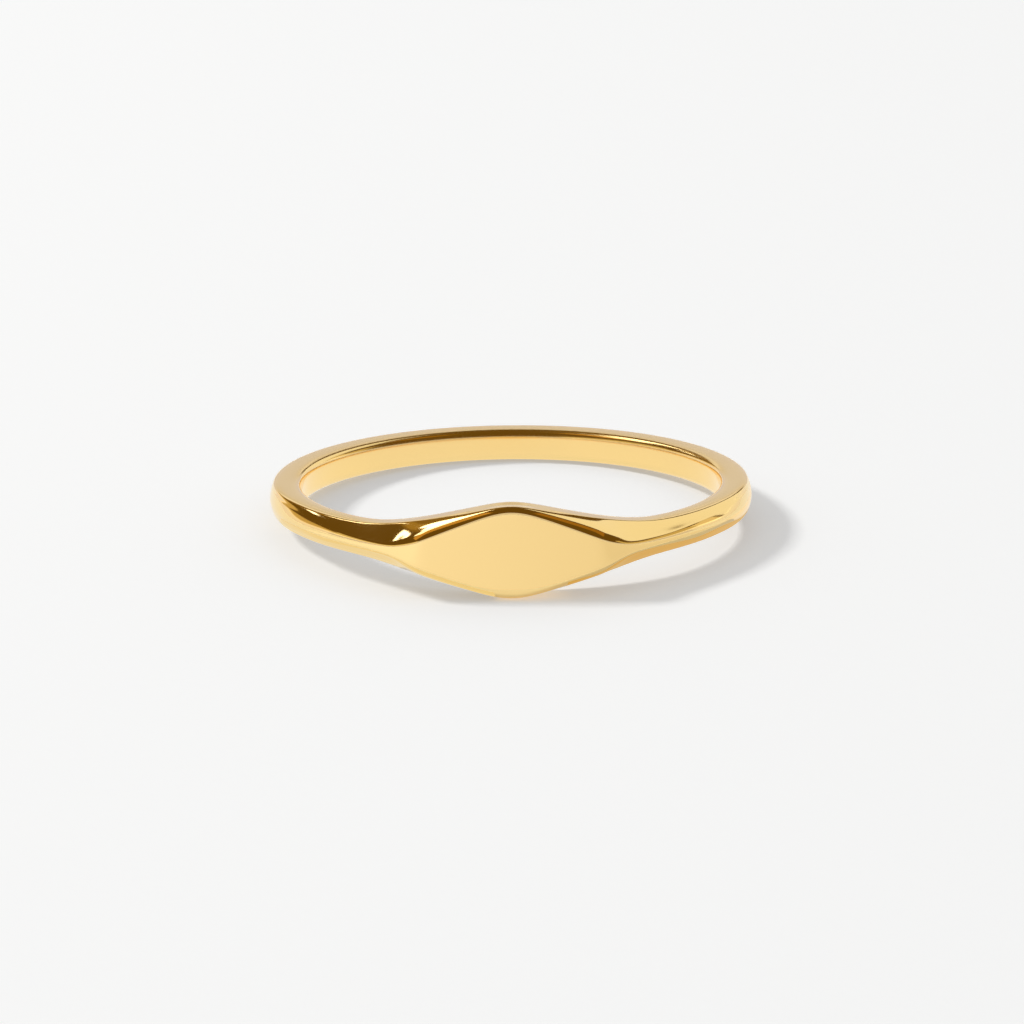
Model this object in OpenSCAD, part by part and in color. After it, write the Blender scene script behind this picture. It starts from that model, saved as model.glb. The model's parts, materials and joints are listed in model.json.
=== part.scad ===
// A slim signet ring in one piece of polished metal, lying on its side.
// The band runs round a finger hole. At the front it widens into a low head with a
// flat, diamond shaped face, and a bevel runs from each shoulder up to the edge of the face.
//
// The ring is drawn first with the hole's axis along Z and the head towards -Y.
// Angles are measured round that axis, from the middle of the head.
// It is then laid down as it rests: on the lower tip of the head and the back of the band.

/* [Finger hole] */
// Radius of the finger hole
hole_r = 8.65; // [7.5:0.05:10]
// Rounding of the edge between the hole and the sides of the ring
hole_round = 0.2; // [0.12:0.01:0.24]

/* [Band] */
// Thickness of the band from the hole to its outside
band_t = 1.3; // [1.2:0.02:1.6]
// Width of the band at the two sides of the finger
side_w = 1.28; // [1.2:0.02:1.6]
// Width of the band at the back of the finger
back_w = 1.3; // [1.1:0.02:1.5]

/* [Head] */
// Width of the head along the finger, over its tips
head_w = 3.74; // [3.4:0.02:4.2]
// Thickness of the head from the hole to the flat face
head_t = 1.43; // [1.3:0.01:1.6]
// Distance between the upper and lower tips of the flat face
face_w = 3.56; // [3.2:0.02:3.6]
// How far the shoulders would swell past the band if the face didn't cut them off
shoulder = 1.9; // [1.7:0.05:2.2]

/* [Hidden] */

// Slope of the head's outline, seen from the front, and how round its tips are
RIM_SLOPE = 0.285;
RIM_TIP = 0.8;
RIM_FOOT = 0.14;
// The same for the outline of the flat face, which is steeper and has sharper tips
FACE_SLOPE = 0.393;
FACE_TIP = 0.72;
FACE_FOOT = 0.06;
// Angle over which the shoulders swell out of the band
SHOULDER_ANGLE = 25.4;
// How softly the shoulders roll over into the face
SHOULDER_ROLL = 0.06;
// Metal left in front of the flat face, which one flat cut takes off
FACE_SPARE = 0.025;
// Metal left inside the hole, which the round cut takes out
HOLE_SPARE = 0.3;
// The rounded edge of the hole starts this far inside it, so that the cut meets it cleanly
HOLE_MEET = 0.02;
// Angle between the points of that rounding
ROUND_STEP = 30;
// The band gets narrower from this angle on, towards the back
TAPER_FROM = 75;
// Angles between the sections on the head and on the band
HEAD_STEP = 2;
BAND_STEP = 4;
HEAD_END = 64;
BACK = 180;

// The section at some angles. The crown is the edge of the outer strip between the bevels.
// rim_r: radius where the side of the ring ends and the bevel starts
// drop: how much lower the side is there than at the hole
// crown_h: half the width of the outer strip
// sag: how much further out the middle of the strip is than its edges
// facet_r, facet_h: size of the narrow second bevel along the strip's edge
ANGLE = 0;
RIM_R = 1;
DROP = 2;
CROWN_H = 3;
SAG = 4;
FACET_R = 5;
FACET_H = 6;
SECTIONS = [
    //angle, rim_r, drop, crown_h,  sag, facet_r, facet_h
    [     0,  9.45, 0.02,    0.20, 0.00,    0.20,    0.12],
    [     6,  9.46, 0.02,    0.20, 0.00,    0.18,    0.17],
    [    12,  9.56, 0.02,    0.20, 0.00,    0.19,    0.22],
    [    18,  9.60, 0.03,    0.20, 0.00,    0.22,    0.27],
    [    24,  9.58, 0.03,    0.20, 0.01,    0.20,    0.24],
    [    27,  9.57, 0.03,    0.20, 0.02,    0.18,    0.14],
    [    33,  9.52, 0.03,    0.20, 0.04,    0.08,    0.05],
    [    40,  9.52, 0.03,    0.22, 0.06,    0.04,    0.03],
    [    50,  9.52, 0.02,    0.30, 0.10,    0.03,    0.03],
    [    62,  9.55, 0.01,    0.36, 0.17,    0.03,    0.03],
    [    75,  9.65, 0.00,    0.44, 0.13,    0.03,    0.03],
    [    95,  9.76, 0.00,    0.45, 0.09,    0.03,    0.05],
    [   140,  9.86, 0.00,    0.46, 0.04,    0.02,    0.08],
    [   180,  9.86, 0.00,    0.46, 0.04,    0.02,    0.08],
];

band_r = hole_r + band_t;
face_d = hole_r + head_t;
// The rim radii in the table belong to a finger hole of this radius
TABLE_HOLE_R = 8.65;
// The outer strip is domed: points at these shares of its half width, from the edge inwards
DOME = [1, 0.67, 0.33];
// The cuts for the hole and the face reach this far past the ring
REACH = 12;
GOLD = [0.93, 0.76, 0.42];

// A smooth curve through one column of the table
function slope(i, col) =
    let (a = max(i - 1, 0), b = min(i + 1, len(SECTIONS) - 1))
    (SECTIONS[b][col] - SECTIONS[a][col]) / (SECTIONS[b][ANGLE] - SECTIONS[a][ANGLE]);
function row_at(angle, i = 0) =
    i >= len(SECTIONS) - 2 || angle < SECTIONS[i + 1][ANGLE] ? i : row_at(angle, i + 1);
function value(angle, col) =
    let (
        i = row_at(angle),
        low = SECTIONS[i],
        high = SECTIONS[i + 1],
        span = high[ANGLE] - low[ANGLE],
        t = (angle - low[ANGLE]) / span,
        m0 = slope(i, col) * span,
        m1 = slope(i + 1, col) * span
    )
    low[col] * (2 * t^3 - 3 * t^2 + 1) + m0 * (t^3 - 2 * t^2 + t)
    + high[col] * (3 * t^2 - 2 * t^3) + m1 * (t^3 - t^2);

// The larger or the smaller of two lengths, with the corner between them rounded off
function soft_max(a, b, k) = (a + b + sqrt((a - b)^2 + 4 * k^2)) / 2;
function soft_min(a, b, k) = (a + b - sqrt((a - b)^2 + 4 * k^2)) / 2;

// How far a point is from the head's middle, seen from the front, and further on behind the sides
function aside(r, angle) = r * (angle < 90 ? sin(angle) : 2 - sin(angle));

// Height of a rounded gable at the distance x from its middle
function gable(x, top, slope, tip) = top + slope * (tip - sqrt(x^2 + tip^2));

// Half the width of the ring at an angle, measured at the finger hole
function band_half(angle) =
    let (t = max(0, (angle - TAPER_FROM) / (BACK - TAPER_FROM)))
    side_w / 2 - (side_w - back_w) / 2 * (3 * t^2 - 2 * t^3);
function rim_h(angle) =
    soft_max(band_half(angle), gable(aside(hole_r, angle), head_w / 2, RIM_SLOPE, RIM_TIP), RIM_FOOT);

// Radius of the middle of the outer strip, which the flat face cuts off at the front
function belly_r(angle) =
    let (swell = band_r + shoulder * exp(-(angle / SHOULDER_ANGLE)^2))
    angle >= HEAD_END ? swell
    : soft_min(swell, (face_d + FACE_SPARE) / cos(angle), SHOULDER_ROLL);
function crown_r(angle) = belly_r(angle) - value(angle, SAG);
function crown_h(angle) =
    soft_max(
        value(angle, CROWN_H),
        gable(aside(crown_r(angle), angle), face_w / 2, FACE_SLOPE, FACE_TIP),
        FACE_FOOT
    );

// Upper half of the section, from the hole to the middle of the outer strip
function half_section(angle) =
    let (
        h = rim_h(angle),
        r = crown_r(angle),
        c = crown_h(angle),
        sag = value(angle, SAG),
        rim_r = value(angle, RIM_R) + hole_r - TABLE_HOLE_R
    )
    [
        [hole_r - HOLE_SPARE, h - hole_round],
        for (a = [90 : -ROUND_STEP : 0])
            [hole_r + hole_round - (hole_round + HOLE_MEET) * sin(a), h - hole_round * (1 - cos(a))],
        [rim_r, h - value(angle, DROP)],
        [r - value(angle, FACET_R), c + value(angle, FACET_H)],
        for (t = DOME)
            [r + sag * (1 - t^2), c * t],
    ];

// The whole section: the upper half, the middle of the strip, and the upper half mirrored
function section(angle) =
    let (half = half_section(abs(angle)), last = len(half) - 1)
    [
        each half,
        [belly_r(abs(angle)), 0],
        for (i = [last : -1 : 0]) [half[i][0], -half[i][1]],
    ];

angles = [
    for (a = [-HEAD_END : HEAD_STEP : HEAD_END - HEAD_STEP]) a,
    for (a = [HEAD_END : BAND_STEP : 360 - HEAD_END - BAND_STEP]) a > BACK ? a - 360 : a,
];
rings = [
    for (a = angles) [for (p = section(a)) [p[0] * sin(a), -p[0] * cos(a), p[1]]]
];

// One closed skin over all the sections, in their order round the finger
module skin(rings) {
    count = len(rings);
    side = len(rings[0]);
    polyhedron(
        points = [for (ring = rings) each ring],
        faces = [
            for (i = [0 : count - 1], j = [0 : side - 1])
                let (i2 = (i + 1) % count, j2 = (j + 1) % side)
                each [
                    [i * side + j, i2 * side + j, i2 * side + j2],
                    [i * side + j, i2 * side + j2, i * side + j2]
                ]
        ]
    );
}

// The ring with its hole upright: the skin, with the finger hole bored and the face cut flat
module upright_ring() {
    difference() {
        skin(rings);
        cylinder(h = REACH, r = hole_r, center = true, $fn = 128);
        translate([0, -face_d - REACH / 2, 0])
            cube([2 * REACH, REACH, REACH], center = true);
    }
}

// The ring rests on the inner edge of the head's lower tip and the outer edge of the back.
// It leans by the angle that brings both down to the same surface.
front_r = hole_r + hole_round;
back_r = value(BACK, RIM_R) + hole_r - TABLE_HOLE_R;
lean = atan((rim_h(0) - rim_h(BACK)) / (front_r + back_r));

// Every point of the skin as it lies, to find the lowest one and the middle of the ring
laid = [
    for (ring = rings, p = ring)
        if (norm([p[0], p[1]]) > hole_r)
            let (y = max(p[1], -face_d))
            [y * cos(lean) + p[2] * sin(lean), p[2] * cos(lean) - y * sin(lean)]
];
middle_y = (min([for (p = laid) p[0]]) + max([for (p = laid) p[0]])) / 2;
floor_z = min([for (p = laid) p[1]]);

module ring() {
    color(GOLD)
        translate([0, -middle_y, -floor_z])
            rotate([-lean, 0, 0])
                upright_ring();
}

ring();
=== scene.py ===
# %% [markdown]
# This lesson dresses one small thing: a slim signet ring of polished gold plate that lies on its side.
# Its solid was drawn beforehand at its real size and is loaded here as the frame.
# The frame gives the finger hole, the way the ring leans on the floor and the plane of its flat face.
# Everything below is worked out from these, so the new ring lies exactly where the solid lies.

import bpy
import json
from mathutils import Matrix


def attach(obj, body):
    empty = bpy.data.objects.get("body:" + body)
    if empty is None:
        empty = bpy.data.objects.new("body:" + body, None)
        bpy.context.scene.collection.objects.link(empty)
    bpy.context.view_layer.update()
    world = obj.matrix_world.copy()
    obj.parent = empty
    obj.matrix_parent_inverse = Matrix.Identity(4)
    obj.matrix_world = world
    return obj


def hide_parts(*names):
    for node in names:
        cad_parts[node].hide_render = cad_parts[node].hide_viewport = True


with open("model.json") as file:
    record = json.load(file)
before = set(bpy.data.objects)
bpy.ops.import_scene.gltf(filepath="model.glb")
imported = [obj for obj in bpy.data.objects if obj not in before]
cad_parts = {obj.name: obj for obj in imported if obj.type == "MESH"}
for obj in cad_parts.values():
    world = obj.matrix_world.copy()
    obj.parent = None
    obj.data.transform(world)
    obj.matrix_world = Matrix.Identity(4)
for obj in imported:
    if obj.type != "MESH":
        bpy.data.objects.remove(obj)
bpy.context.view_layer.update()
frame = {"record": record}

MM = 0.001

# %% [markdown]
# The record that comes with the solid lists where things meet the ring.
# Its finger hole gives a centre, an axis and a radius. Its flat face gives a point on a plane.
# The ring rests on the lower tip of its head and on the back of its band, so the hole's axis leans.
# It's easier to model the ring upright round the Z axis, and to lay it down when it's finished.

# %% Read the hole and the face from the record
import json
import math
import bmesh
import bpy
from mathutils import Matrix, Vector

mounts = {m["name"]: m for m in frame["record"]["mounts"]}
hole_centre = Vector(mounts["finger_hole"]["pos_m"])
hole_axis = Vector(mounts["finger_hole"]["axis"])
hole_r = mounts["finger_hole"]["dims"]["r_mm"] * MM
face_out = Vector(mounts["signet_face"]["axis"])
face_d = (Vector(mounts["signet_face"]["pos_m"]) - hole_centre).dot(face_out)
lean = math.atan2(hole_axis.y, hole_axis.z)
print(f"hole {hole_r / MM:.2f} mm, face {face_d / MM:.3f} mm from its axis")
print(f"lean {math.degrees(lean):.2f} degrees")

# %% [markdown]
# A product picture of so small a thing is taken from some distance with a long lens.
# The camera looks at the front of the ring, a little from above. A long lens keeps the far side
# of the ring nearly as large as the near side.
# The camera is aimed at the middle of the finger hole. A small lens shift then moves the ring up
# in the picture without turning the camera away from it.

# %% Place the camera
CAMERA_DISTANCE = 300 * MM
CAMERA_ELEVATION = math.radians(17.5)
CAMERA_ROLL = math.radians(0.52)
IMAGE_SIZE = 1024
SENSOR_MM = 36
PIXELS_PER_MM = 24.24
RING_LEFT_OF_MIDDLE = 1.3
RING_ABOVE_MIDDLE = 17.7
NEAREST_IN_VIEW = 0.01
FURTHEST_IN_VIEW = 20

toward_camera = Vector((0, -math.cos(CAMERA_ELEVATION), math.sin(CAMERA_ELEVATION)))
level_right = Vector((1, 0, 0))
level_up = toward_camera.cross(level_right)
right = math.cos(CAMERA_ROLL) * level_right - math.sin(CAMERA_ROLL) * level_up
up = math.sin(CAMERA_ROLL) * level_right + math.cos(CAMERA_ROLL) * level_up
turn = Matrix((right, up, toward_camera)).transposed()
bpy.ops.object.camera_add(
    location=hole_centre + CAMERA_DISTANCE * toward_camera, rotation=turn.to_euler()
)
camera = bpy.context.object
camera.name = "product_camera"
camera.data.sensor_width = SENSOR_MM
camera.data.lens = PIXELS_PER_MM * (CAMERA_DISTANCE / MM) * SENSOR_MM / IMAGE_SIZE
camera.data.shift_x = RING_LEFT_OF_MIDDLE / IMAGE_SIZE
camera.data.shift_y = -RING_ABOVE_MIDDLE / IMAGE_SIZE
camera.data.clip_start = NEAREST_IN_VIEW
camera.data.clip_end = FURTHEST_IN_VIEW
bpy.context.scene.camera = camera
print(f"lens {camera.data.lens:.1f} mm at {CAMERA_DISTANCE / MM:.0f} mm")

# %% [markdown]
# The ring itself is cast in one piece and then filed and polished. Its section isn't round: the
# inside is a true cylinder, the two sides are flat, and the outside is a narrow strip.
# Between a side and the strip runs a bevel. At the back the bevel is only a rounded edge.
# Towards the head it opens, and it ends along the edge of the flat, diamond shaped face,
# with a second and much narrower bevel between them.
#
# It could be cut from a block with booleans, but their thin leftover faces spoil a mirror finish.
# Here one section is drawn and spun into a plain band. The points of each loop are then scaled
# to their own radius and height, and a subdivision surface rounds the whole evenly.
# The numbers are given where the shape changes, and a smooth curve runs between them.
#
# The columns of the table describe the upper half of one section:
# rim_r is the radius where the side ends and the bevel starts.
# drop is how much lower the side is there than at the hole.
# crown_h is half the width of the outer strip.
# sag is how much further out the middle of the strip is than its edges.
# facet_r and facet_h are the size of the narrow second bevel along the strip's edge.

# %% Measures of the ring, in millimetres and degrees from the middle of the head
BAND_T = 1.3
SIDE_W = 1.28
BACK_W = 1.3
HEAD_W = 3.74
RIM_SLOPE, RIM_TIP, RIM_FOOT = 0.285, 0.8, 0.14
FACE_W = 3.56
FACE_SLOPE, FACE_TIP, FACE_FOOT = 0.393, 0.72, 0.06
SHOULDER = 1.9
SHOULDER_ANGLE = 25.4
SHOULDER_ROLL = 0.06
FACE_SPARE = 0.025
FACE_REACH = 64
TAPER_FROM = 75
BACK = 180

COLUMNS = ("angle", "rim_r", "drop", "crown_h", "sag", "facet_r", "facet_h")
SECTIONS = (
    (0, 9.45, 0.02, 0.20, 0.00, 0.20, 0.12),
    (6, 9.46, 0.02, 0.20, 0.00, 0.18, 0.17),
    (12, 9.56, 0.02, 0.20, 0.00, 0.19, 0.22),
    (18, 9.60, 0.03, 0.20, 0.00, 0.22, 0.27),
    (24, 9.58, 0.03, 0.20, 0.01, 0.20, 0.24),
    (27, 9.57, 0.03, 0.20, 0.02, 0.18, 0.14),
    (33, 9.52, 0.03, 0.20, 0.04, 0.08, 0.05),
    (40, 9.52, 0.03, 0.22, 0.06, 0.04, 0.03),
    (50, 9.52, 0.02, 0.30, 0.10, 0.03, 0.03),
    (62, 9.55, 0.01, 0.36, 0.17, 0.03, 0.03),
    (75, 9.65, 0.00, 0.44, 0.13, 0.03, 0.03),
    (95, 9.76, 0.00, 0.45, 0.09, 0.03, 0.05),
    (140, 9.86, 0.00, 0.46, 0.04, 0.02, 0.08),
    (180, 9.86, 0.00, 0.46, 0.04, 0.02, 0.08),
)


def ease(t):
    """A share from 0 to 1 that starts and ends softly."""
    return 3 * t**2 - 2 * t**3


def table_value(angle, column):
    """One column of the table at an angle, on a smooth curve through its rows."""
    c = COLUMNS.index(column)
    last = len(SECTIONS) - 1
    i = max(k for k in range(last) if SECTIONS[k][0] <= angle)

    def slope(k):
        a, b = SECTIONS[max(k - 1, 0)], SECTIONS[min(k + 1, last)]
        return (b[c] - a[c]) / (b[0] - a[0])

    low, high = SECTIONS[i], SECTIONS[i + 1]
    span = high[0] - low[0]
    t = (angle - low[0]) / span
    ends = low[c] + (high[c] - low[c]) * ease(t)
    return ends + span * (slope(i) * (t**3 - 2 * t**2 + t) + slope(i + 1) * (t**3 - t**2))


print("rim radius at 10 degrees:", round(table_value(10, "rim_r"), 3), "mm")

# %% [markdown]
# Seen from the front, the head and its face both have a gable shaped outline with a rounded tip.
# A gable is a straight slope with its tip smoothed. Where it meets the band, the larger of the
# two heights counts, and the corner between them is rounded off.


# %% Outlines of the head and the face
def soft_max(a, b, k):
    """The larger of two lengths, with the corner between them rounded off."""
    return (a + b + math.sqrt((a - b) ** 2 + 4 * k**2)) / 2


def soft_min(a, b, k):
    """The smaller of two lengths, with the corner between them rounded off."""
    return (a + b - math.sqrt((a - b) ** 2 + 4 * k**2)) / 2


def gable(x, top, slope, tip):
    """Height of a rounded gable at the distance x from its middle."""
    return top + slope * (tip - math.hypot(x, tip))


def aside(r, angle):
    """Distance from the head's middle as seen from the front, and further on behind the sides."""
    s = math.sin(math.radians(angle))
    return r * (s if angle < 90 else 2 - s)


def rim_h(angle):
    """Half the width of the ring, measured at the finger hole."""
    t = max(0, (angle - TAPER_FROM) / (BACK - TAPER_FROM))
    band = SIDE_W / 2 - (SIDE_W - BACK_W) / 2 * ease(t)
    head = gable(aside(hole_r / MM, angle), HEAD_W / 2, RIM_SLOPE, RIM_TIP)
    return soft_max(band, head, RIM_FOOT)


def belly_r(angle):
    """Radius of the middle of the outer strip, which the flat face holds back at the front."""
    swell = hole_r / MM + BAND_T + SHOULDER * math.exp(-((angle / SHOULDER_ANGLE) ** 2))
    if angle >= FACE_REACH:
        return swell
    return soft_min(swell, (face_d / MM + FACE_SPARE) / math.cos(math.radians(angle)), SHOULDER_ROLL)


def crown_h(angle):
    """Half the width of the outer strip, which is the face at the front."""
    r = belly_r(angle) - table_value(angle, "sag")
    face = gable(aside(r, angle), FACE_W / 2, FACE_SLOPE, FACE_TIP)
    return soft_max(table_value(angle, "crown_h"), face, FACE_FOOT)


for a in (0, 25, 60, BACK):
    print(f"{a} degrees: half width {rim_h(a):.2f}, strip {crown_h(a):.2f}, radius {belly_r(a):.2f} mm")

# %% [markdown]
# These are the corners of the upper half of one section, from the hole over the side to the
# middle of the strip. The face's plane cuts off whatever would stand in front of it.


# %% Corners of one section
def corners(angle):
    """(name, radius, height) of the corners of the upper half, in millimetres."""
    r_hole, h = hole_r / MM, rim_h(angle)
    plane_r = face_d / MM / math.cos(math.radians(angle)) if angle < FACE_REACH else math.inf
    belly = min(belly_r(angle), plane_r)
    crown_r = min(belly_r(angle) - table_value(angle, "sag"), plane_r)
    crown = crown_h(angle)
    return [
        ("wall", r_hole, 0),
        ("hole_edge", r_hole, h),
        ("rim", table_value(angle, "rim_r"), h - table_value(angle, "drop")),
        ("facet", crown_r - table_value(angle, "facet_r"), crown + table_value(angle, "facet_h")),
        ("crown", crown_r, crown),
        ("belly", belly, 0),
    ]


for corner, r, h in corners(0):
    print(f"{corner} at the front: radius {r:.2f}, height {h:.2f} mm")

# %% [markdown]
# A polished edge is never quite sharp: it's a tiny rounding that catches a line of light.
# A subdivision surface rounds a corner by the distance to the points next to it. So each corner
# is drawn as two points close to it, one on either side. The rounding is small at the head,
# and it grows towards the back, where the file only broke the edges.
# The hole's edge is rounder and keeps its corner point as well. The radius of its rounding comes
# out at about half the distance to the two points beside it.

# %% Points of one section, with its rounded corners
HOLE_ROUND = 0.2
HOLE_ROUND_AT_BACK = 0.24
EDGE_AT_HEAD = 0.045
EDGE_AT_BACK = 0.09
BULGE_AT_HEAD = 0.05
BULGE_AT_BAND = 0.02
# The edges get rounder, and the bevels flatter, from one angle on and over so many degrees.
ROUNDER_FROM, ROUNDER_OVER = 60, 50
FLATTER_FROM, FLATTER_OVER = 20, 14
# Halfway from its edge to its middle, the outer strip has this share of its dome.
DOME = 0.65
# A rounding takes up no more than this share of a line.
MOST_OF_LINE = 0.4
MOST_OF_WALL_AT_BACK = 0.8
MOST_OF_SIDE = 0.46


def change(angle, start, over):
    """The share of a change that starts at one angle and takes so many degrees."""
    return min(1, max(0, (angle - start) / over))


def towards(p, q, distance, most=MOST_OF_LINE):
    """The point at a distance from p towards q, but not past the given share of the way."""
    share = min(distance / math.dist(p, q), most)
    return (p[0] + share * (q[0] - p[0]), p[1] + share * (q[1] - p[1]))


def bulge(p, q, share):
    """The middle of a line, pushed out sideways by a share of its length."""
    return ((p[0] + q[0]) / 2 - share * (q[1] - p[1]), (p[1] + q[1]) / 2 + share * (q[0] - p[0]))


def section(angle):
    """(name, radius, height) of the points of the upper half, in millimetres."""
    wall, hole_edge, rim, facet, crown, belly = ((r, h) for _, r, h in corners(angle))
    t = change(angle, ROUNDER_FROM, ROUNDER_OVER)
    round_off = 2 * (HOLE_ROUND + (HOLE_ROUND_AT_BACK - HOLE_ROUND) * t)
    most_of_wall = MOST_OF_LINE + (MOST_OF_WALL_AT_BACK - MOST_OF_LINE) * t
    edge = EDGE_AT_HEAD + (EDGE_AT_BACK - EDGE_AT_HEAD) * ease(t)
    flatter = change(angle, FLATTER_FROM, FLATTER_OVER)
    swell = BULGE_AT_HEAD + (BULGE_AT_BAND - BULGE_AT_HEAD) * flatter
    sag = belly[0] - crown[0]
    strip = (crown[0] + DOME * sag, crown[1] / 2)
    return [
        ("wall", *wall),
        ("wall_end", *towards(hole_edge, wall, round_off, most_of_wall)),
        ("hole_edge", *hole_edge),
        ("side", *towards(hole_edge, rim, round_off, MOST_OF_SIDE)),
        ("rim_in", *towards(rim, hole_edge, edge)),
        ("rim_out", *towards(rim, facet, edge)),
        ("bevel", *bulge(rim, facet, swell)),
        ("facet_in", *towards(facet, rim, edge)),
        ("facet_out", *towards(facet, crown, edge)),
        ("crown_out", *towards(crown, facet, edge)),
        ("crown_in", *towards(crown, strip, edge)),
        ("strip", *strip),
        ("belly", *belly),
    ]


back_section = section(BACK)
print("points in a loop:", 2 * len(back_section) - 2)

# %% [markdown]
# The band starts as one closed loop of points. It has the section of the band's back and stands
# beside the head. The spin tool turns it round the finger's axis, in wide steps round the back and
# then in fine ones over the head. The first and the last loop lie on each other and are merged.

# %% Spin the plain band
HEAD_STEP = 1.5
BAND_STEP = 3
HEAD_END = 36
SAME_PLACE = 0.001 * MM

# An operator acts on all that is selected, so nothing from before stays selected.
for o in bpy.context.selected_objects:
    o.select_set(False)
bpy.ops.mesh.primitive_circle_add(vertices=2 * len(back_section) - 2, radius=MM, fill_type="NOTHING")
ring = bpy.context.object
ring.name = "signet_ring"
loop = [(r, z) for _, r, z in back_section]
loop += [(r, -z) for _, r, z in reversed(back_section[1:-1])]
start = math.radians(HEAD_END)
for vertex, (r, z) in zip(ring.data.vertices, loop):
    vertex.co = (r * math.sin(start) * MM, -r * math.cos(start) * MM, z * MM)
bpy.ops.object.mode_set(mode="EDIT")
bpy.ops.mesh.select_all(action="SELECT")
for degrees, step in ((360 - 2 * HEAD_END, BAND_STEP), (2 * HEAD_END, HEAD_STEP)):
    bpy.ops.mesh.spin(
        steps=round(degrees / step), angle=math.radians(degrees), center=(0, 0, 0), axis=(0, 0, 1)
    )
bpy.ops.mesh.select_all(action="SELECT")
bpy.ops.mesh.remove_doubles(threshold=SAME_PLACE)
print("band:", len(bmesh.from_edit_mesh(ring.data).verts), "points")

# %% [markdown]
# Now each point is found by its place: its angle says in which loop it lies, and its radius and
# height say which point of the section it is. Left and right, and upper and lower, are moved
# together, because scaling about the middle of the finger hole keeps them mirrored.

# %% Pull the head out of the band
NO_CHANGE = 1e-6

bm = bmesh.from_edit_mesh(ring.data)
points = {}
for v in bm.verts:
    angle = round(abs(math.degrees(math.atan2(v.co.x, -v.co.y))) / HEAD_STEP) * HEAD_STEP
    r, h = math.hypot(v.co.x, v.co.y) / MM, abs(v.co.z) / MM
    name = min(back_section, key=lambda p: math.hypot(p[1] - r, p[2] - h))[0]
    points.setdefault((angle, name), []).append(v.index)


def select_only(indices):
    """Selects these points of the ring and no others."""
    bm = bmesh.from_edit_mesh(ring.data)
    bm.verts.ensure_lookup_table()
    for v in bm.verts:
        v.select = False
    bm.select_flush(False)
    for i in indices:
        bm.verts[i].select = True
    bm.select_flush_mode()
    bmesh.update_edit_mesh(ring.data)


bpy.context.tool_settings.mesh_select_mode = (True, False, False)
moves = 0
for angle in sorted({a for a, _ in points}):
    for (name, r, h), (_, r0, h0) in zip(section(angle), back_section):
        wide, tall = r / r0, h / h0 if h0 else 1
        if abs(wide - 1) + abs(tall - 1) < NO_CHANGE:
            continue
        select_only(points[angle, name])
        bpy.ops.transform.resize(value=(wide, wide, tall), center_override=(0, 0, 0))
        moves += 1
print("scaled", moves, "sets of points")
bpy.ops.mesh.select_all(action="SELECT")
bpy.ops.mesh.normals_make_consistent(inside=False)
bpy.ops.object.mode_set(mode="OBJECT")

# %% [markdown]
# A subdivision surface rounds the coarse cage to a smooth skin, and is then applied.
# The ring is laid down with the turn and the place that the record gives for its finger hole.

# %% Smooth the ring and lay it down
SMOOTH_LEVELS = 2
smooth = ring.modifiers.new("smooth", "SUBSURF")
smooth.levels = SMOOTH_LEVELS
smooth.render_levels = SMOOTH_LEVELS
bpy.context.view_layer.objects.active = ring
ring.select_set(True)
bpy.ops.object.modifier_apply(modifier=smooth.name)
ring.matrix_world = Matrix.Translation(hole_centre) @ Matrix.Rotation(-lean, 4, "X")
bpy.ops.object.transform_apply(location=True, rotation=True, scale=True)
bpy.ops.object.shade_smooth()
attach(ring, "root")
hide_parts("ring")
print("faces:", len(ring.data.polygons))

# %% [markdown]
# Gold plate is a thin, even coat, so its colour hardly changes from place to place. What tells
# the eye that it's real metal is its polish. A wheel leaves very fine lines that run round the
# ring, and a slight waviness. The head is polished last and shines most. The back of the band
# rubs against the skin and other things, and is a little duller.
#
# Materials are built from nodes. Two small functions keep that short: one turns a colour from
# hex to the numbers that Blender takes, and one adds a node with all its settings and links.


# %% Colours and nodes
GOLD = "#FFDF99"


def linear(hex_colour):
    """An sRGB hex colour as the linear numbers that Blender's sockets take."""
    values = [int(hex_colour[i : i + 2], 16) / 255 for i in (1, 3, 5)]
    return [v / 12.92 if v <= 0.04045 else ((v + 0.055) / 1.055) ** 2.4 for v in values] + [1]


def add(tree, kind, inputs, **settings):
    """A node with its settings. Each input gets a plain value, or the output that feeds it."""
    node = tree.nodes.new(kind)
    for name, value in settings.items():
        setattr(node, name, value)
    for name, value in inputs.items():
        if isinstance(value, bpy.types.NodeSocket):
            tree.links.new(value, node.inputs[name])
        else:
            node.inputs[name].default_value = value
    return node.outputs


print("gold, linear:", [round(v, 3) for v in linear(GOLD)])

# %% [markdown]
# The polishing lines run round the finger hole, so the gold has to know where a spot lies on the
# upright ring. The mapping node takes the ring's place and lean away again. The distance to
# the finger's axis and the height along it then stay the same all along a line.

# %% Where a spot lies on the upright ring
gold = bpy.data.materials.new("polished_gold_plate")
gold.use_nodes = True
tree = gold.node_tree
place = add(tree, "ShaderNodeTexCoord", {})["Object"]
upright = add(
    tree,
    "ShaderNodeMapping",
    {"Vector": place, "Location": hole_centre, "Rotation": (-lean, 0, 0)},
    vector_type="TEXTURE",
)["Vector"]
parts = add(tree, "ShaderNodeSeparateXYZ", {"Vector": upright})
flat = add(tree, "ShaderNodeCombineXYZ", {"X": parts["X"], "Y": parts["Y"]})["Vector"]
radius = add(tree, "ShaderNodeVectorMath", {0: flat}, operation="LENGTH")["Value"]
print("nodes so far:", len(tree.nodes))

# %% [markdown]
# Two noise patterns become bumps, which tilt the surface a little without moving it. One is
# squeezed to fine lines. The other is smooth and wide, as hand polishing never gets quite flat.
# Real lines are a few thousandths of a millimetre wide. They are drawn 0.05 mm wide, so that they
# show at all, and they change slowly along their length.

# %% Polishing lines and waviness
LINE_WIDTH = 0.05 * MM
LINE_STRETCH = 0.04
LINE_DEPTH = 0.00006 * MM
WAVE_LENGTH = 1.6 * MM
WAVE_DEPTH = 0.0006 * MM

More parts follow.
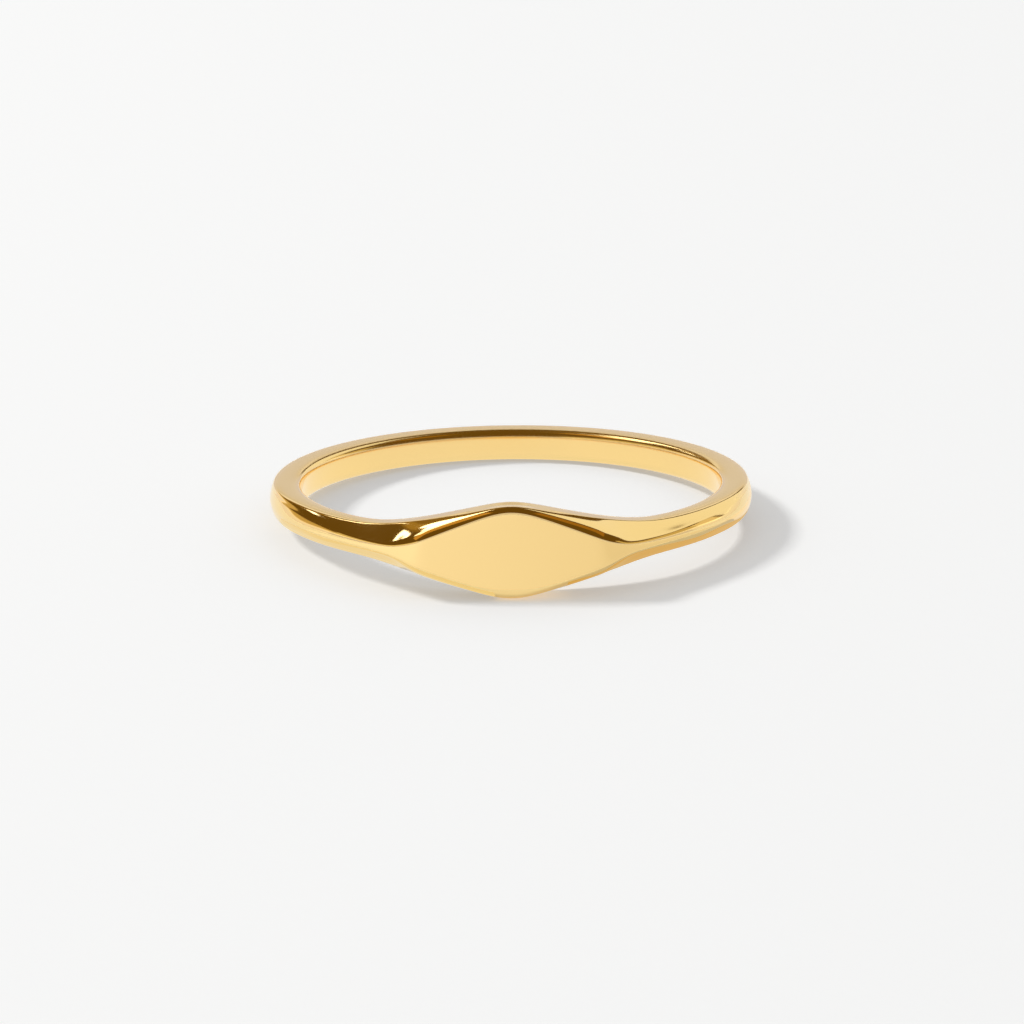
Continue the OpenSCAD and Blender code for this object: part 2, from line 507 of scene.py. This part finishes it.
along = add(tree, "ShaderNodeMath", {0: parts["X"], 1: LINE_STRETCH}, operation="MULTIPLY")[0]
across = add(tree, "ShaderNodeCombineXYZ", {"X": radius, "Y": parts["Z"], "Z": along})["Vector"]
lines = add(
    tree, "ShaderNodeTexNoise", {"Vector": across, "Scale": 1 / LINE_WIDTH, "Detail": 2.0}
)[0]
waves = add(
    tree, "ShaderNodeTexNoise", {"Vector": place, "Scale": 1 / WAVE_LENGTH, "Detail": 1.0}
)[0]
wavy = add(tree, "ShaderNodeBump", {"Height": waves, "Distance": WAVE_DEPTH})[0]
lined = add(tree, "ShaderNodeBump", {"Height": lines, "Distance": LINE_DEPTH, "Normal": wavy})[0]

# %% [markdown]
# Roughness says how dull the gold is. It grows from the head to the back, and it changes a little
# from line to line, which breaks up the edges of the reflections. Gold has its colour in its
# reflections. The base colour gives it, and Metallic is 1, because the coat is all metal.

# %% A duller back, and the coat itself
DULL_AT_HEAD = 0.08
DULL_AT_BACK = 0.2
DULL_CHANGE = 0.03
DULL_FROM = -5 * MM
DULL_TO = 9 * MM

dull = add(
    tree,
    "ShaderNodeMapRange",
    {
        "Value": parts["Y"],
        "From Min": DULL_FROM,
        "From Max": DULL_TO,
        "To Min": DULL_AT_HEAD,
        "To Max": DULL_AT_BACK,
    },
    interpolation_type="SMOOTHSTEP",
)["Result"]
uneven = add(
    tree,
    "ShaderNodeMapRange",
    {"Value": lines, "To Min": -DULL_CHANGE, "To Max": DULL_CHANGE},
)["Result"]
roughness = add(tree, "ShaderNodeMath", {0: dull, 1: uneven}, operation="ADD")[0]
shader = tree.nodes["Principled BSDF"]
shader.inputs["Base Color"].default_value = linear(GOLD)
shader.inputs["Metallic"].default_value = 1
tree.links.new(roughness, shader.inputs["Roughness"])
tree.links.new(lined, shader.inputs["Normal"])
ring.data.materials.append(gold)
print("gold nodes:", len(tree.nodes))

# %% [markdown]
# Small jewellery is often photographed on a sheet of matt paper. Its fibres are a few hundredths
# of a millimetre wide, too fine to show here, so a faint unevenness 0.6 mm wide is drawn.
# Matt paper shows no reflection of the ring, so its roughness is 1 and its specular level 0.
# The paper lies on a light table. Its glow fills the shadows, also close under the ring, and
# so they stay as pale as in the photo.

# %% Lay the paper
PAPER_SIZE = 4
GRAIN = 0.6 * MM
GRAIN_DARK, GRAIN_PALE = "#F3F3F3", "#F4F5F5"
LIGHT_TABLE = 0.32

bpy.ops.mesh.primitive_plane_add(size=PAPER_SIZE)
floor = bpy.context.object
floor.name = "floor"
paper = bpy.data.materials.new("matt_paper")
paper.use_nodes = True
tree = paper.node_tree
place = add(tree, "ShaderNodeTexCoord", {})["Object"]
fibres = add(tree, "ShaderNodeTexNoise", {"Vector": place, "Scale": 1 / GRAIN, "Detail": 3.0})[0]
# The mix node's two colours are its inputs 6 and 7, and the mixed colour is its output 2.
tint = add(
    tree,
    "ShaderNodeMix",
    {"Factor": fibres, 6: linear(GRAIN_DARK), 7: linear(GRAIN_PALE)},
    data_type="RGBA",
)[2]
shader = tree.nodes["Principled BSDF"]
tree.links.new(tint, shader.inputs["Base Color"])
shader.inputs["Roughness"].default_value = 1
shader.inputs["Specular IOR Level"].default_value = 0
shader.inputs["Emission Color"].default_value = linear("#FFFFFF")
shader.inputs["Emission Strength"].default_value = LIGHT_TABLE
floor.data.materials.append(paper)
print("paper:", floor.dimensions.x, "m wide")

# %% [markdown]
# Polished metal has hardly any look of its own: it shows what stands round it. So the studio
# decides how the ring looks. A light box on each side draws the long highlights, and the dark
# gaps between the boxes give the edges their depth.
# Each box is placed by the directions that it fills, as seen from the ring. Azimuth 0 is behind
# the ring and positive azimuths are on its right.


# %% A light box that fills some directions
BOX_DISTANCE = 1.0


def direction(azimuth, elevation):
    """The way from the ring to a light, as a vector of length 1."""
    a, e = math.radians(azimuth), math.radians(elevation)
    return Vector((math.sin(a) * math.cos(e), math.cos(a) * math.cos(e), math.sin(e)))


# Polished gold throws warm patches on white paper. The photo has hardly any, so light that has
# passed over the gold reaches the paper at this share only.
GOLD_ON_PAPER = 0.3


def dim_on_paper(tree, node, socket, strength=1):
    """Gives a light its strength, and less where it reaches the paper by way of the gold."""
    bounces = add(tree, "ShaderNodeLightPath", {})["Diffuse Depth"]
    weaker = {"Value": bounces, "To Min": strength, "To Max": strength * GOLD_ON_PAPER}
    result = add(tree, "ShaderNodeMapRange", weaker)["Result"]
    tree.links.new(result, tree.nodes[node].inputs[socket])


def softbox(name, azimuths, elevations, brightness):
    """A flat light that fills these directions, seen from the ring."""
    half_a, half_e = (math.radians((v[1] - v[0]) / 2) for v in (azimuths, elevations))
    elevation = sum(elevations) / 2
    away = direction(sum(azimuths) / 2, elevation)
    bpy.ops.object.light_add(
        type="AREA",
        location=hole_centre + BOX_DISTANCE * away,
        rotation=away.to_track_quat("Z", "Y").to_euler(),
    )
    light = bpy.context.object
    light.name = name
    light.data.shape = "RECTANGLE"
    light.data.size = 2 * BOX_DISTANCE * math.cos(math.radians(elevation)) * math.tan(half_a)
    light.data.size_y = 2 * BOX_DISTANCE * math.tan(half_e)
    # A flat light's power is pi times its area times its brightness.
    light.data.energy = math.pi * light.data.size * light.data.size_y * max(brightness)
    light.data.color = [v / max(brightness) for v in brightness]
    light.visible_diffuse = False
    light.data.use_nodes = True
    dim_on_paper(light.data.node_tree, "Emission", "Strength")
    return light


# %% [markdown]
# The key light is small and strong, and stands on the left. It casts the soft shadows on the right.
# The metal doesn't see it, because its hard white spot isn't on the real ring. The other
# boxes do the opposite: only the metal sees them, and the paper stays evenly lit.
# The small boxes on the left draw the white highlight on the left bevel, and the warm ones
# and the glow keep the dark bevels a deep gold instead of black.

# %% Place the light boxes
BOXES = (
    # name, azimuths and elevations in degrees, brightness in red, green and blue
    ("right_softbox", (18, 58.5), (11, 52), (0.8, 0.83, 0.8)),
    ("right_low_panel", (20, 80), (-2, 11), (0.2, 0.2, 0.15)),
    ("left_low_panel", (-80, -22), (-2, 10), (0.2, 0.18, 0.15)),
    ("left_gold_panel", (-80, -22), (10, 17), (0.45, 0.34, 0.15)),
    ("right_side_panel", (58, 76), (9, 20), (0.65, 0.58, 0.4)),
    ("right_side_panel_high", (58, 68), (20, 28), (0.5, 0.42, 0.25)),
    ("right_edge_panel", (76, 92), (9, 30), (0.45, 0.38, 0.2)),
    ("front_left_panel", (-150, -80), (9, 24), (0.5, 0.42, 0.22)),
    ("back_low_panel", (-20, 17), (11, 14), (0.5, 0.49, 0.45)),
    ("back_panel", (-20, 11), (14, 21), (0.75, 0.75, 0.72)),
    ("small_softbox", (-37, -22), (42, 54), (3.0, 3.0, 3.0)),
    ("small_softbox_mid", (-30, -21), (35, 42), (3.0, 3.0, 3.0)),
    ("small_softbox_tip", (-37, -35.5), (28.3, 30.5), (3.0, 3.0, 3.0)),
    ("small_softbox_low", (-48, -37), (28.3, 32), (3.0, 3.0, 3.0)),
    ("small_softbox_left", (-78, -37), (47, 54), (2.2, 2.2, 2.2)),
    ("small_softbox_high", (-86, -37), (54, 62), (1.8, 1.75, 1.6)),
    ("soft_rim", (-32, -21), (28.5, 34.5), (0.12, 0.08, 0.02)),
    ("glow", (-36, -10), (19, 57), (0.1, 0.06, 0.01)),
    ("warm_left", (-116, -80), (45, 72), (0.45, 0.24, 0.05)),
    ("warm_right", (70, 117), (52, 70), (0.2, 0.09, 0.01)),
)
for box in BOXES:
    softbox(*box)
key_light = softbox("key_light", (-88, -72), (38.5, 49.5), (36, 35.8, 35.2))
key_light.visible_diffuse = True
key_light.visible_glossy = False
print("light boxes:", len(BOXES) + 1)

# %% [markdown]
# A white ceiling lights the paper evenly from all sides. It's a sun lamp as wide as the whole sky.
# For the metal, the room is pale near the floor and a deep golden brown above, where nothing is lit.

# %% Light from the room
CEILING_TILT = math.radians(-20)
CEILING_LIGHT = 1.18
ROOM = (
    # elevation, colour
    (3, "#D7D2DA"),
    (10, "#DFDBDA"),
    (12, "#654C19"),
)

bpy.ops.object.light_add(type="SUN", rotation=(CEILING_TILT, 0, 0))
ceiling = bpy.context.object
ceiling.name = "ceiling"
ceiling.data.angle = math.pi
ceiling.data.energy = CEILING_LIGHT
ceiling.visible_glossy = False

world = bpy.data.worlds.new("studio")
world.use_nodes = True
tree = world.node_tree
way = add(tree, "ShaderNodeTexCoord", {})["Generated"]
height = add(tree, "ShaderNodeSeparateXYZ", {"Vector": way})["Z"]
colour = add(tree, "ShaderNodeValToRGB", {"Fac": height})["Color"]
tree.links.new(colour, tree.nodes["Background"].inputs["Color"])
bands = colour.node.color_ramp.elements
for elevation, shade in ROOM:
    bands.new(math.sin(math.radians(elevation))).color = linear(shade)
bands.remove(bands[0])
bands.remove(bands[-1])
dim_on_paper(tree, "Background", "Strength")
scene = bpy.context.scene
scene.world = world
scene.view_settings.view_transform = "Standard"
world.cycles_visibility.diffuse = False
print("bands of the room:", len(bands))

# %% [markdown]
# The underside of the right shoulder is deep gold, and the face, the left shoulder and the inside
# of the band are pale. These are painted reflections. Glowing strips are cut flat and bent round
# the ring on the paper. They give the metal a painted shadow to mirror under the right shoulder,
# and painted light where the paper under and inside the ring lies in shade. A strip can fade
# from one colour on the left to another on the right. Only the metal sees the strips, so the
# paper itself shows no edge.

# %% Lay glowing strips on the paper that paint reflections for the metal
CARD_UP = 0.02 * MM
CARD_FOLDS = 24
FADE_END = 10 * MM


def painted_reflection_card(name, angles, radii, left, right, brightness=1):
    """A glowing strip between two angles from the head and two radii in mm, in two colours. It paints a
    reflection that only the metal sees.
    """
    bpy.ops.mesh.primitive_grid_add(x_subdivisions=CARD_FOLDS, y_subdivisions=1, size=2)
    piece = bpy.context.object
    piece.name = name
    for v in piece.data.vertices:
        a = math.radians(sum(angles) / 2 + (angles[1] - angles[0]) / 2 * v.co.x)
        r = (sum(radii) / 2 + (radii[1] - radii[0]) / 2 * v.co.y) * MM
        v.co = (r * math.sin(a), -r * math.cos(a), CARD_UP)
    for rays in ("camera", "diffuse", "shadow", "transmission"):
        setattr(piece, "visible_" + rays, False)
    glow = bpy.data.materials.new(name)
    glow.use_nodes = True
    shader = glow.node_tree.nodes["Principled BSDF"]
    # The strip is black and shows only its glow, whose colour is painted light or shade for the metal
    # to mirror.
    shader.inputs["Base Color"].default_value = linear("#000000")
    tree = glow.node_tree
    spot = add(tree, "ShaderNodeTexCoord", {})["Object"]
    across = add(tree, "ShaderNodeSeparateXYZ", {"Vector": spot})["X"]
    reach = {"Value": across, "From Min": -FADE_END, "From Max": FADE_END}
    share = add(tree, "ShaderNodeMapRange", reach)["Result"]
    colour = add(tree, "ShaderNodeValToRGB", {"Fac": share})["Color"]
    for end, shade in zip(colour.node.color_ramp.elements, (left, right)):
        end.color = linear(shade)
    tree.links.new(colour, shader.inputs["Emission Color"])
    dim_on_paper(tree, "Principled BSDF", "Emission Strength", brightness)
    piece.data.materials.append(glow)


# Painted reflections: the golden strip paints shade for the right shoulder's underside to mirror.  The
# pale strips paint light where the paper under, beside and inside the ring is in shadow.  The front
# strip paints the face lighter on the left and darker on the right.
PAINTED_REFLECTION_CARDS = (
    # name, angles, radii, colour on the left and on the right, and brightness if it isn't 1
    ("golden_card", (14, 104), (7.4, 10.3), "#CBAE70", "#DABF8E"),
    ("pale_card", (-88, -4), (8.4, 11), "#EDE7D3", "#EDE7D3"),
    ("inner_card", (-80, 104), (0.5, 7.4), "#F3F1ED", "#F3F1ED"),
    ("rear_card", (104, 280), (0.5, 9.6), "#F3F1ED", "#F3F1ED"),
    ("side_card", (81, 125), (10.35, 14), "#F3ECE2", "#F3ECE2"),
    ("front_card", (-75, 75), (12, 70), "#FBFBFF", "#E1DDD6", 1.04),
)
for strip in PAINTED_REFLECTION_CARDS:
    painted_reflection_card(*strip)
print("cards on the paper:", len(PAINTED_REFLECTION_CARDS))
